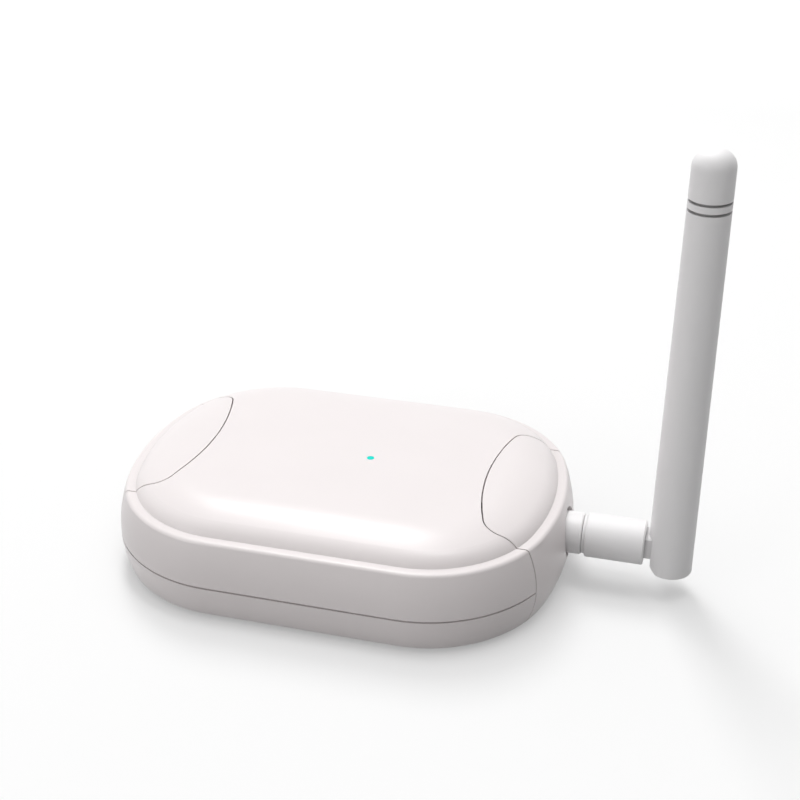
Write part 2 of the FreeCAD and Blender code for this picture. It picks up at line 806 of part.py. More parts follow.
inlet_play = size["inlet_clearance"]
outside_x = -(half_length + size["wall"])
inlet_hole = slot_tool(
    "InletHole", size["inlet_width"] / 2 + inlet_play, size["inlet_height"] / 2 + inlet_play,
    size["inlet_rounding"] + inlet_play, outside_x, guide_end_x, inlet_z,
)
plug_seat = slot_tool(
    "PlugSeat", size["plug_recess_width"] / 2, size["plug_recess_height"] / 2,
    size["plug_recess_height"] / 2 - inlet_play,
    outside_x, size["plug_recess_floor"] - half_length, inlet_z,
)
guide_bore = size["button_radius"] + size["button_clearance"]
guide_tube = shared("GuideTube", outer_form, cylinder(
    "GuideRod", guide_bore + size["guide_wall"], guide_end_x + half_length,
    x=-half_length, y=button_y, z=button_z, turn=ALONG_X,
))
guide_hole = cylinder(
    "GuideHole", guide_bore, guide_end_x + size["wall"] - outside_x,
    x=outside_x, y=button_y, z=button_z, turn=ALONG_X,
)
left_blank = joined("LeftBlank", [mirrored("LeftSkin", cap_blank, Vector(1, 0, 0)), guide_tube])
node(less("LeftCap", left_blank, [inlet_hole, plug_seat, guide_hole]), "left_end_cap")

# Top cover with screw bosses and the socket of the light pipe

beyond_x = half_length + size["wall"]
beyond_y = half_width + size["wall"]
upper_half = cuboid(
    "UpperHalf", -beyond_x, beyond_x, -beyond_y, beyond_y, parting_z + half_gap, crown_z + size["wall"]
)
screw_seat_z = base_z + size["case_head_sink"]
screw_tip_z = screw_seat_z + size["case_shank_length"]
case_x = half_length - size["case_screw_end"]
case_y = half_width - size["case_screw_side"]

top_bosses = shared("TopBosses", outer_form, four_corners("BossRods", cylinder(
    "BossRod", size["case_boss_radius"], crown_z - parting_z, x=case_x, y=case_y, z=parting_z
)))
pilot_holes = four_corners("PilotHoles", cylinder(
    "PilotHole", size["case_shank_radius"] + size["thread_clearance"],
    screw_tip_z + size["pilot_runout"] - base_z, x=case_x, y=case_y, z=base_z,
))
pipe_socket = cylinder(
    "PipeSocket", size["pipe_collar_radius"] + size["pipe_clearance"] + size["socket_wall"],
    size["socket_height"] + size["wall"] / 2, x=lamp_x, z=ceiling_z - size["socket_height"],
)
pipe_bore = cylinder(
    "PipeBore", size["pipe_collar_radius"] + size["pipe_clearance"], size["socket_height"],
    x=lamp_x, z=ceiling_z - size["socket_height"],
)
pipe_hole = cylinder(
    "PipeHole", size["pipe_tip_radius"] + size["pipe_clearance"], 2 * size["wall"],
    x=lamp_x, z=ceiling_z - size["wall"] / 2,
)
top_blank = joined("TopBlank", [shared("TopSkin", shell, upper_half), top_bosses, pipe_socket])
node(less("TopCover", top_blank, [
    cap_clear, pilot_holes, pipe_bore, pipe_hole, catch_groove("TopGroove", ceiling_z, -1),
]), "top_cover")

# Base with its lip, posts, air slots and seats for the feet

lower_half = cuboid(
    "LowerHalf", -beyond_x, beyond_x, -beyond_y, beyond_y, base_z - size["wall"], parting_z - half_gap
)


def locating_lip():
    """Ring that stands up inside the wall across the parting line."""
    body = new_body("Lip")
    low = parting_z - size["lip_height"]
    high = parting_z + size["lip_height"]
    root = new_sketch(body, "LipRoot", "XY_Plane", low)
    pad(body, add_path(root, outline(size["wall"] - half_gap)), size["lip_height"] - half_gap)
    upper = new_sketch(body, "LipUpper", "XY_Plane", low)
    pad(body, add_path(upper, outline(size["wall"] + size["lip_clearance"])), high - low)
    inside = new_sketch(body, "LipInside", "XY_Plane", high)
    add_path(inside, outline(size["wall"] + size["lip_clearance"] + size["lip_thickness"]))
    pocket(body, inside, high - low)
    return body


def air_slots():
    """Two rows of round-ended slots through the floor."""
    body = new_body("AirSlots")
    sketch = new_sketch(body, "AirSlotPlan", "XY_Plane", base_z - size["wall"])
    half = size["slot_half_width"]
    first_x = -size["slot_row"] / 2
    for side in (-1, 1):
        middle = size["slot_offset"] * side
        low = middle - size["slot_half_length"]
        high = middle + size["slot_half_length"]
        add_path(sketch, [
            (first_x + half, low),
            (first_x + half, high, half, LEFT),
            (first_x - half, high),
            (first_x - half, low, half, LEFT),
        ])
    first = pad(body, sketch, 3 * size["wall"])
    pattern = body.newObject("PartDesign::LinearPattern", "AirSlotRow")
    pattern.Originals = [first]
    pattern.Direction = (origin_feature(body, "X_Axis"), [""])
    bind(pattern, "Length", size["slot_row"])
    pattern.setExpression("Occurrences", "round(Sizes.slot_row / Sizes.slot_pitch) + 1")
    body.Tip = pattern
    return body


case_posts = four_corners("CasePosts", cylinder(
    "CasePost", size["case_post_radius"], parting_z - base_z - size["wall"] / 2,
    x=case_x, y=case_y, z=base_z + size["wall"] / 2,
))
board_posts = four_corners("BoardPosts", cylinder(
    "BoardPost", size["board_post_radius"], board_bottom - base_z - size["wall"] / 2,
    x=screw_x, y=screw_y, z=base_z + size["wall"] / 2,
))
shank_holes = four_corners("ShankHoles", cylinder(
    "ShankHole", size["case_shank_radius"] + size["case_hole_clearance"],
    size["parting_rise"] + size["wall"], x=case_x, y=case_y, z=base_z,
))
head_recesses = four_corners("HeadRecesses", cylinder(
    "HeadRecess", size["case_head_radius"] + size["case_head_clearance"],
    size["case_head_sink"] + size["wall"], x=case_x, y=case_y, z=base_z - size["wall"],
))
board_pilots = four_corners("BoardPilots", cylinder(
    "BoardPilot", size["board_shank_radius"] + size["thread_clearance"], size["board_shank_length"],
    x=screw_x, y=screw_y,
    z=board_bottom - size["board_shank_length"] + size["board_thickness"] - size["thread_clearance"],
))
foot_x = half_length - size["foot_end"]
foot_y = half_width - size["foot_side"]
foot_seats = four_corners("FootSeats", cylinder(
    "FootSeat", size["foot_radius"] + size["foot_clearance"], size["foot_recess"] + size["wall"],
    x=foot_x, y=foot_y, z=base_z - size["wall"],
))
base_blank = joined("BaseBlank", [
    shared("BaseSkin", shell, lower_half), less("BaseLip", locating_lip(), [cap_clear]),
    case_posts, board_posts,
])
node(less("BaseCover", base_blank, [
    cap_clear, shank_holes, head_recesses, board_pilots, foot_seats, air_slots(),
    catch_groove("FloorGroove", floor_z, 1),
]), "base_cover")

# Feet and case screws

foot_low = base_z - size["foot_standoff"]
foot_top = base_z + size["foot_recess"]
foot = turned("Foot", [
    (zero, foot_low),
    (size["foot_radius"] - size["foot_chamfer"], foot_low),
    (size["foot_radius"], foot_low + size["foot_chamfer"]),
    (size["foot_radius"], foot_top),
    (zero, foot_top),
], axis="Z_Axis", x=foot_x, y=foot_y)
node(four_corners("Feet", foot), "rubber_feet")


def pan_screw(name, head_radius, head_height, shank_radius, shank_length, points_up, **where):
    """Pan-head screw with its seat at the placement and a pointed tip."""
    way = 1 if points_up else -1
    taper = shank_radius / 2
    return turned(name, [
        (zero, -head_height * way),
        (head_radius - taper, -head_height * way),
        (head_radius, (taper - head_height) * way),
        (head_radius, zero),
        (shank_radius, zero),
        (shank_radius, (shank_length - taper) * way),
        (shank_radius - taper, shank_length * way),
        (zero, shank_length * way),
    ], axis="Z_Axis", **where)


case_screw = pan_screw(
    "CaseScrew", size["case_head_radius"], size["case_head_height"], size["case_shank_radius"],
    size["case_shank_length"], True, x=case_x, y=case_y, z=screw_seat_z,
)
node(four_corners("CaseScrews", case_screw), "case_screws")

# Main board and its screws

def main_board():
    nose = size["board_left_nose"]
    left_bevel = board_side - nose
    body = new_body("MainBoard", z=board_bottom)
    sketch = add_path(new_sketch(body, "BoardPlan", "XY_Plane"), [
        (board_left, -nose),
        (board_left + left_bevel, -board_side),
        (board_right - size["board_right_bevel"], -board_side),
        (board_right, -size["board_right_nose"]),
        (board_right, size["board_right_nose"]),
        (board_right - size["board_right_bevel"], board_side),
        (board_left + left_bevel, board_side),
        (board_left, nose),
    ])
    for side_x in (-1, 1):
        for side_y in (-1, 1):
            add_circle(
                sketch, screw_x * side_x, screw_y * side_y,
                size["board_shank_radius"] + size["board_hole_clearance"],
            )
    pad(body, sketch, size["board_thickness"])
    return body


node(main_board(), "main_board")
board_screw = pan_screw(
    "BoardScrew", size["board_head_radius"], size["board_head_height"], size["board_shank_radius"],
    size["board_shank_length"], False, x=screw_x, y=screw_y, z=board_top,
)
node(four_corners("BoardScrews", board_screw), "board_screws")

# Modules, power parts and lamp on the board

module_top = board_top + size["module_thickness"]
network_x = board_left + size["network_inset"]
network_y = size["network_width"] / 2 + size["network_margin"] - board_side
power_x = board_left + size["power_inset"]
capacitor_x = board_left + size["capacitor_inset"]
clock_x = radio_edge - size["clock_gap"] - size["clock_length"] / 2
clock_y = board_side - size["clock_margin"] - size["clock_width"] / 2


def shield_can(name, half_x, half_y, **where):
    """Sheet-metal lid, open below."""
    body = block(name, half_x, half_y, size["can_height"], **where)
    sheet = size["can_sheet"]
    inside = new_sketch(body, name + "Inside", "XY_Plane")
    add_path(inside, box_path(sheet - half_x, half_x - sheet, sheet - half_y, half_y - sheet))
    pocket(body, inside, size["can_height"] - sheet, backwards=True)
    return body


node(block(
    "RadioModule", size["radio_length"] / 2, size["radio_width"] / 2, size["module_thickness"],
    x=radio_x, z=board_top,
), "radio_module")
node(shield_can(
    "RadioCan", size["radio_can_length"] / 2, size["radio_can_width"] / 2,
    x=radio_x, z=module_top,
), "radio_shield_can")
node(block(
    "NetworkModule", size["network_length"] / 2, size["network_width"] / 2, size["module_thickness"],
    x=network_x, y=network_y, z=board_top,
), "network_module")
can_shift = (size["network_width"] - size["network_can_width"]) / 2 - size["can_setback"]
network_can_y = network_y + can_shift
node(shield_can(
    "NetworkCan", size["network_can_length"] / 2, size["network_can_width"] / 2,
    x=network_x, y=network_can_y, z=module_top,
), "network_shield_can")
node(block(
    "Choke", size["coil_size"] / 2, size["coil_size"] / 2, size["coil_height"], bevel=size["coil_bevel"],
    x=power_x, y=size["coil_y"], z=board_top,
), "power_choke")
node(block(
    "PowerChip", size["regulator_size"] / 2, size["regulator_size"] / 2, size["regulator_height"],
    x=power_x, y=size["regulator_y"], z=board_top,
), "power_chip")
node(block(
    "ClockCan", size["clock_length"] / 2, size["clock_width"] / 2, size["clock_height"],
    x=clock_x, y=clock_y, z=board_top,
), "clock_can")


def capacitor(name, x):
    """Can capacitor on a square foot."""
    plate = block(
        name + "Plate", size["capacitor_radius"], size["capacitor_radius"], size["capacitor_foot"],
        bevel=size["capacitor_foot"], x=x, y=size["capacitor_y"], z=board_top,
    )
    can = cylinder(
        name + "Can", size["capacitor_radius"] - size["thread_clearance"], size["capacitor_height"],
        x=x, y=size["capacitor_y"], z=board_top,
    )
    return joined(name, [plate, can])


node(grouped("Capacitors", [
    capacitor("CapacitorA", capacitor_x),
    capacitor("CapacitorB", capacitor_x + size["capacitor_pitch"]),
]), "buffer_capacitors")

node(block(
    "Lamp", size["lamp_length"] / 2, size["lamp_width"] / 2, size["lamp_height"],
    x=lamp_x, z=board_top,
), "status_lamp")

pipe_end_z = board_top + size["lamp_height"] + size["pipe_lamp_gap"]
node(turned("LightPipe", [
    (zero, pipe_end_z),
    (size["pipe_stem_radius"], pipe_end_z),
    (size["pipe_stem_radius"], ceiling_z - size["pipe_collar_height"]),
    (size["pipe_collar_radius"], ceiling_z - size["pipe_collar_height"]),
    (size["pipe_collar_radius"], ceiling_z),
    (size["pipe_tip_radius"], ceiling_z),
    (size["pipe_tip_radius"], crown_z),
    (zero, crown_z),
], axis="Z_Axis", x=lamp_x), "light_pipe")

# Power inlet on the left edge of the board

inlet_x = size["inlet_setback"] - half_length
inlet_cavity = size["inlet_depth"] - size["inlet_back"]


def inlet_shell():
    body = new_body("InletShell", x=inlet_x, z=inlet_z)
    half_y, half_z = size["inlet_width"] / 2, size["inlet_height"] / 2
    skin = size["inlet_skin"]
    outer = new_sketch(body, "InletOuter", "YZ_Plane")
    pad(body, add_path(outer, rounded_path(half_y, half_z, size["inlet_rounding"])), size["inlet_depth"])
    inner = new_sketch(body, "InletInner", "YZ_Plane")
    add_path(inner, rounded_path(half_y - skin, half_z - skin, size["inlet_rounding"] - skin))
    pocket(body, inner, size["inlet_depth"], backwards=True)
    return body


def inlet_tongue():
    """Thin tongue that carries the contacts, on a block that fills the back."""
    body = new_body("InletTongue", x=inlet_x, z=inlet_z)
    play = size["inlet_skin"] + size["moulded_fit"]
    back = new_sketch(body, "InletBack", "YZ_Plane", inlet_cavity)
    half_y, half_z = size["inlet_width"] / 2 - play, size["inlet_height"] / 2 - play
    pad(body, add_path(back, rounded_path(half_y, half_z, size["inlet_rounding"] - play)), size["inlet_back"])
    blade = new_sketch(body, "InletBlade", "YZ_Plane", size["blade_setback"])
    half_y, half_z = size["blade_width"] / 2, size["blade_thickness"] / 2
    pad(body, add_path(blade, box_path(-half_y, half_y, -half_z, half_z)), inlet_cavity - size["blade_setback"])
    return body


node(inlet_shell(), "inlet_shell")
node(inlet_tongue(), "inlet_tongue")

# Reset button, switch nib and switch

button_face = -end_wall(button_y, button_z, zero) - size["button_proud"]
flange_end = guide_end_x + size["button_flange"]
stem_end = flange_end + size["button_stem"]
round_x = button_face + size["button_rounding"]
node(turned("ResetButton", [
    (button_face, zero),
    (button_face, size["button_radius"] - size["button_rounding"]),
    (round_x, size["button_radius"]),
    (guide_end_x, size["button_radius"]),
    (guide_end_x, size["button_flange_radius"]),
    (flange_end, size["button_flange_radius"]),
    (flange_end, size["button_stem_radius"]),
    (stem_end, size["button_stem_radius"]),
    (stem_end, zero),
], y=button_y, z=button_z), "reset_button")

nib_end = stem_end + size["nib_length"]
switch_face = stem_end + size["nib_proud"]
node(turned("SwitchNib", [
    (stem_end, zero), (stem_end, size["nib_radius"]), (nib_end, size["nib_radius"]), (nib_end, zero),
], y=button_y, z=button_z), "switch_nib")


def reset_switch():
    body = new_body("ResetSwitch", y=button_y, z=button_z)
    half = size["switch_width"] / 2
    low = -size["button_height"]
    face = new_sketch(body, "SwitchFace", "YZ_Plane", switch_face)
    pad(body, add_path(face, box_path(-half, half, low, low + size["switch_height"])), size["switch_depth"])
    bore = new_sketch(body, "SwitchBore", "YZ_Plane", switch_face)
    add_circle(bore, zero, zero, size["nib_radius"] + size["nib_clearance"])
    pocket(body, bore, nib_end + size["nib_travel"] - switch_face, backwards=True)
    return body


node(reset_switch(), "reset_switch")

# Antenna socket on the right edge of the board, all turned about the connector axis

def antenna_socket():
    body = new_body("AntennaSocket", z=axis_z)
    half = size["socket_flange_side"] / 2
    flange = new_sketch(body, "SocketFlange", "YZ_Plane", board_right)
    pad(body, add_path(flange, box_path(-half, half, -half, half)), size["socket_flange"])
    barrel = new_sketch(body, "SocketBarrel", "YZ_Plane", board_right)
    pad(body, add_circle(barrel, zero, zero, size["socket_radius"]), socket_end - board_right)
    legs = new_sketch(body, "SocketLegs", "YZ_Plane", flange_face)
    top = board_top - axis_z
    bottom = board_bottom - axis_z
    thick = size["leg_thickness"]
    for side in (-1, 1):
        inner, outer = size["leg_inner"] * side, half * side
        left, right = (outer, inner) if side < 0 else (inner, outer)
        add_path(legs, box_path(left, right, top, top + thick))
        add_path(legs, box_path(left, right, bottom - thick, bottom))
    pad(body, legs, size["socket_flange"] + size["leg_length"], backwards=True)
    bore = new_sketch(body, "SocketBore", "YZ_Plane", board_right)
    add_circle(bore, zero, zero, size["socket_bore"])
    pocket(body, bore, socket_end - board_right, backwards=True)
    return body


fit = size["moulded_fit"]
play = size["running_fit"]
node(antenna_socket(), "antenna_socket")
contact_start = socket_end - size["contact_depth"] - size["pin_radius"]
node(turned("SocketContact", [
    (board_right - size["pin_tail"], zero),
    (board_right - size["pin_tail"], size["pin_radius"]),
    (contact_start, size["pin_radius"]),
    (contact_start, size["contact_radius"]),
    (socket_end, size["contact_radius"]),
    (socket_end, size["pin_radius"] + play),
    (socket_end - size["contact_depth"], size["pin_radius"] + play),
    (socket_end - size["contact_depth"], zero),
], z=axis_z), "socket_contact")
node(turned("SocketInsulator", [
    (board_right, size["pin_radius"] + fit),
    (board_right, size["socket_bore"] - fit),
    (socket_end, size["socket_bore"] - fit),
    (socket_end, size["contact_radius"] + fit),
    (contact_start, size["contact_radius"] + fit),
    (contact_start, size["pin_radius"] + fit),
], z=axis_z), "socket_insulator")

# Coupling nut and plug

nut_start = socket_end - size["nut_grip"]
nut_shoulder_x = nut_end - size["nut_shoulder"]
nut_bore = size["socket_radius"] + play
node(turned("CouplingNut", [
    (nut_start, nut_bore),
    (nut_start, size["nut_radius"] - size["nut_chamfer"]),
    (nut_start + size["nut_chamfer"], size["nut_radius"]),
    (nut_end - size["nut_rounding"], size["nut_radius"], size["nut_rounding"], RIGHT),
    (nut_end, size["nut_radius"] - size["nut_rounding"]),
    (nut_end, size["plug_neck_radius"] + play),
    (nut_shoulder_x, size["plug_neck_radius"] + play),
    (nut_shoulder_x, nut_bore),
], z=axis_z), "coupling_nut")

neck_end = barrel_start + size["plug_neck"]
node(turned("PlugBody", [
    (plug_face, size["plug_bore"]),
    (plug_face, size["plug_flange_radius"]),
    (plug_flange_end, size["plug_flange_radius"]),
    (plug_flange_end, size["plug_neck_radius"]),
    (neck_end, size["plug_neck_radius"]),
    (neck_end, size["plug_bore"]),
], z=axis_z), "plug_body")
node(turned("PlugInsulator", [
    (plug_face, size["pin_radius"] + fit),
    (plug_face, size["plug_bore"] - fit),
    (neck_end, size["plug_bore"] - fit),
    (neck_end, size["pin_radius"] + fit),
], z=axis_z), "plug_insulator")
pin_end = neck_end + size["strip_overlap"]
node(turned("PlugPin", [
    (socket_end - size["plug_pin_reach"], zero),
    (socket_end - size["plug_pin_reach"], size["pin_radius"]),
    (pin_end, size["pin_radius"]),
    (pin_end, zero),
], z=axis_z), "plug_pin")

# Knuckle barrel, its hinge tongue and the contact strip inside

hinge_round = size["hinge_half_height"]
strip_end = hinge_x + hinge_round - size["strip_margin"]


def knuckle_barrel():
    edge = size["barrel_radius"] - size["barrel_chamfer"]
    bore = size["plug_neck_radius"] + fit
    collar_start = nut_end + size["groove_play"]
    body = turned("Knuckle", [
        (collar_start, bore),
        (collar_start, size["groove_radius"]),
        (barrel_start, size["groove_radius"]),
        (barrel_start, edge),
        (barrel_start + size["barrel_chamfer"], size["barrel_radius"]),
        (barrel_end - size["barrel_chamfer"], size["barrel_radius"]),
        (barrel_end, edge),
        (barrel_end, zero),
        (neck_end, zero),
        (neck_end, bore),
    ], z=axis_z)
    tongue = add_path(new_sketch(body, "HingeTongue", "XZ_Plane"), [
        (barrel_end - size["barrel_chamfer"], -hinge_round),
        (hinge_x, -hinge_round, hinge_round, LEFT),
        (hinge_x, hinge_round),
        (barrel_end - size["barrel_chamfer"], hinge_round),
    ])
    pad(body, tongue, 2 * size["hinge_half_width"], both_ways=True)
    bevel_tongue(body)
    eye = add_circle(new_sketch(body, "HingeEye", "XZ_Plane"), hinge_x, zero, size["hinge_pin_radius"] + play)
    pocket(body, eye, 3 * size["hinge_half_width"], both_ways=True)
    strip = new_sketch(body, "StripSlot", "XZ_Plane")
    reach = size["strip_half_height"] + fit
    add_path(strip, box_path(neck_end, strip_end + fit, -reach, reach))
    pocket(body, strip, 2 * (size["strip_half_width"] + fit), both_ways=True)
    pin_way = new_sketch(body, "PinWay", "YZ_Plane", neck_end)
    add_circle(pin_way, zero, zero, size["pin_radius"] + fit)
    pocket(body, pin_way, size["strip_overlap"] + fit, backwards=True)
    return body


def bevel_tongue(body):
    """Break the outer edges of the tongue, straight sides and round end."""
    doc.recompute()
    picked = []
    for i, edge in enumerate(body.Shape.Edges, 1):
        bounds = edge.BoundBox
        flat = bounds.YLength < 1e-4
        beside = abs(abs(bounds.YMin) - size["hinge_half_width"].value) < 1e-4
        ahead = bounds.XMin > barrel_end.value - 1e-4 and bounds.XLength > 1e-4
        if flat and beside and ahead:
            picked.append(f"Edge{i}")
    solid = body.Tip
    feature = body.newObject("PartDesign::Chamfer", "TongueBevel")
    feature.Base = (solid, picked)
    bind(feature, "Size", size["hinge_bevel"])


node(knuckle_barrel(), "knuckle_barrel")


def contact_strip():
    """Flat spring that takes the signal from the plug pin to the hinge pin."""
    body = new_body("ContactStrip", z=axis_z)
    sketch = new_sketch(body, "StripSide", "XZ_Plane")
    height = size["strip_half_height"]
    add_path(sketch, box_path(pin_end + fit, strip_end, -height, height))
    add_circle(sketch, hinge_x, zero, size["hinge_pin_radius"] + play)
    pad(body, sketch, 2 * size["strip_half_width"], both_ways=True)
    return body


node(contact_strip(), "contact_strip")

# Hinge pin, yoke and rod inside the whip

def hinge_pin():
    body = new_body("HingePin", x=hinge_x, z=axis_z)
    sketch = add_circle(new_sketch(body, "PinEnd", "XZ_Plane"), zero, zero, size["hinge_pin_radius"])
    pad(body, sketch, 2 * size["hinge_pin_half_length"], both_ways=True)
    return body


def yoke(name, grow):
    """Two legs on the hinge pin, joined by a bridge over the fork."""
    body = new_body(name, x=hinge_x, z=axis_z)
    inner = size["yoke_inner"] - grow
    outer = size["yoke_inner"] + size["yoke_leg"] + grow
    foot = -size["yoke_foot"] - grow
    under = size["yoke_head"] - grow
    head = size["yoke_head"] + size["yoke_leg"] + grow
    sketch = add_path(new_sketch(body, name + "Front", "YZ_Plane"), [
        (-outer, foot), (-inner, foot), (-inner, under), (inner, under),
        (inner, foot), (outer, foot), (outer, head), (-outer, head),
    ])
    pad(body, sketch, 2 * (size["yoke_half_width"] + grow), both_ways=True)
    return body


node(hinge_pin(), "hinge_pin")
radiator_yoke = yoke("RadiatorYoke", zero)
yoke_eye = add_circle(
    new_sketch(radiator_yoke, "YokeEye", "XZ_Plane"), zero, zero, size["hinge_pin_radius"] + fit
)
pocket(radiator_yoke, yoke_eye, 3 * size["hinge_pin_half_length"], both_ways=True)
node(radiator_yoke, "radiator_yoke")
rod_foot = axis_z + size["yoke_head"] + size["yoke_leg"]
node(cylinder("Rod", size["rod_radius"], size["rod_length"], x=whip_x, z=rod_foot), "radiator_rod")

# Whip cover: tapered, two ring grooves, round tip, forked at its foot

whip_low = -size["whip_foot"]
whip_high = whip_low + size["whip_length"]
ring_high = whip_high - size["ring_drop"]


def whip_radius_at(height):
    """Radius of the straight taper, heights measured from the hinge."""
    slope = (size["whip_radius"] - size["whip_tip_radius"]) / (ring_high - whip_low)
    return size["whip_radius"] - slope * (height - whip_low)


def whip_cover():
    body = new_body("WhipCover", x=whip_x, z=axis_z)
    half_ring = size["ring_width"] / 2
    dome_z = whip_high - size["dome_radius"]
    dome_foot = whip_radius_at(dome_z)
    profile = [(zero, whip_low), (size["whip_radius"], whip_low)]
    for ring in (ring_high - size["ring_pitch"], ring_high):
        low, high = ring - half_ring, ring + half_ring
        profile += [
            (whip_radius_at(low), low),
            (whip_radius_at(ring) - size["ring_depth"], low),
            (whip_radius_at(ring) - size["ring_depth"], high),
            (whip_radius_at(high), high),
        ]
    profile += [
        (dome_foot, dome_z, size["dome_radius"], LEFT),
        (dome_foot - size["dome_radius"], whip_high),
        (zero, whip_high),
    ]
    turned("Whip", profile, axis="Z_Axis", body=body)
    fork_round = hinge_round + size["hinge_side_clearance"]
    outside = 2 * size["whip_radius"]
    eye_x = size["hinge_offset"]
    fork = add_path(new_sketch(body, "Fork", "XZ_Plane"), [
        (-outside, -outside),
        (eye_x + fork_round, -outside),
        (eye_x + fork_round, zero, fork_round, LEFT),
        (eye_x, fork_round),
        (-outside, fork_round),
    ])
    pocket(body, fork, 2 * (size["hinge_half_width"] + size["hinge_side_clearance"]), both_ways=True)
    swing = size["whip_foot"] + size["knuckle_gap"] / 2 + eye_x
    heel = add_path(new_sketch(body, "Heel", "XZ_Plane"), [
        (eye_x - swing, zero, swing, LEFT),
        (eye_x, -swing),
        (eye_x, -outside),
        (-outside, -outside),
        (-outside, zero),
    ])
    pocket(body, heel, 3 * size["whip_radius"], both_ways=True)
    return body


pin_seat = cylinder(
    "PinSeat", size["hinge_pin_radius"] + fit, 2 * (size["hinge_pin_half_length"] + fit),
    x=hinge_x, y=-(size["hinge_pin_half_length"] + fit), z=axis_z, turn=Rotation(Vector(1, 0, 0), -90),
)
rod_bore = cylinder(
    "RodBore", size["rod_radius"] + fit, size["rod_length"] + fit, x=whip_x, z=rod_foot
)
node(less("Whip", whip_cover(), [pin_seat, rod_bore, yoke("YokeSpace", fit)]), "whip_cover")

# Check every object, then write one file per piece

doc.recompute()
for thing in doc.Objects:
    if {"Invalid", "Error"} & set(thing.State):
        raise RuntimeError(f"{thing.Name} failed: {thing.State}")
os.makedirs("parts", exist_ok=True)
for piece in GATEWAY_NODES:
    shape = piece.Shape
    if shape.isNull() or not shape.isValid() or not shape.Solids:
        raise RuntimeError(f"{piece.Label} has no valid shape")
    shape.exportStep(os.path.join("parts", f"{piece.Label}.step"))
    print(f"{piece.Label:20s} solids {len(shape.Solids)} volume {shape.Volume:10.2f}")
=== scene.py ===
# Looks, floor, light and camera of an indoor radio gateway with a folding whip antenna

import json
import math

import bpy
import bmesh
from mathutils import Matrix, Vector


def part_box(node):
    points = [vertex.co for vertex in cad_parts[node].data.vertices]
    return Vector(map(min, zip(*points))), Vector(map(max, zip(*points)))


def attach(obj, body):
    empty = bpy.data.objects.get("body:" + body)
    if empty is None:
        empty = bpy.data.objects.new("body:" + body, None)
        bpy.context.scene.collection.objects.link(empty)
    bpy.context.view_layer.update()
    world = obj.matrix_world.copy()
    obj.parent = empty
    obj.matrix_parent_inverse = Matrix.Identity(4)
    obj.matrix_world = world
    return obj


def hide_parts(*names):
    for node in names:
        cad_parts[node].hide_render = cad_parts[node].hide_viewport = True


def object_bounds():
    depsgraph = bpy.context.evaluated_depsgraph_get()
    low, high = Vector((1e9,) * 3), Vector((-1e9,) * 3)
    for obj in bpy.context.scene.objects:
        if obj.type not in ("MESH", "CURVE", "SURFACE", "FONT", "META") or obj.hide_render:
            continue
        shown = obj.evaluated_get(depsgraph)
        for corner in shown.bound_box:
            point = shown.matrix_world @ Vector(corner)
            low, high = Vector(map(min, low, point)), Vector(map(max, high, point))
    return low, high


MM = 0.001

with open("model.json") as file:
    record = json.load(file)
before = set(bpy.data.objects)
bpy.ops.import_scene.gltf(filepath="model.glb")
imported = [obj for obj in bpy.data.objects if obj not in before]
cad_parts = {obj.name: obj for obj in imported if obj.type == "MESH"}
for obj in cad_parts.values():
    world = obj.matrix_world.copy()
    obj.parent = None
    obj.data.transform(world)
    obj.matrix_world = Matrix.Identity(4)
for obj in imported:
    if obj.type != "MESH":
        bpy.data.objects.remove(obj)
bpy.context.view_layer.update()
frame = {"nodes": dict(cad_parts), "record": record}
nodes = frame["nodes"]

# Materials


def new_material(name):
    mat = bpy.data.materials.new(name)
    mat.use_nodes = True
    mat.node_tree.nodes.clear()
    return mat


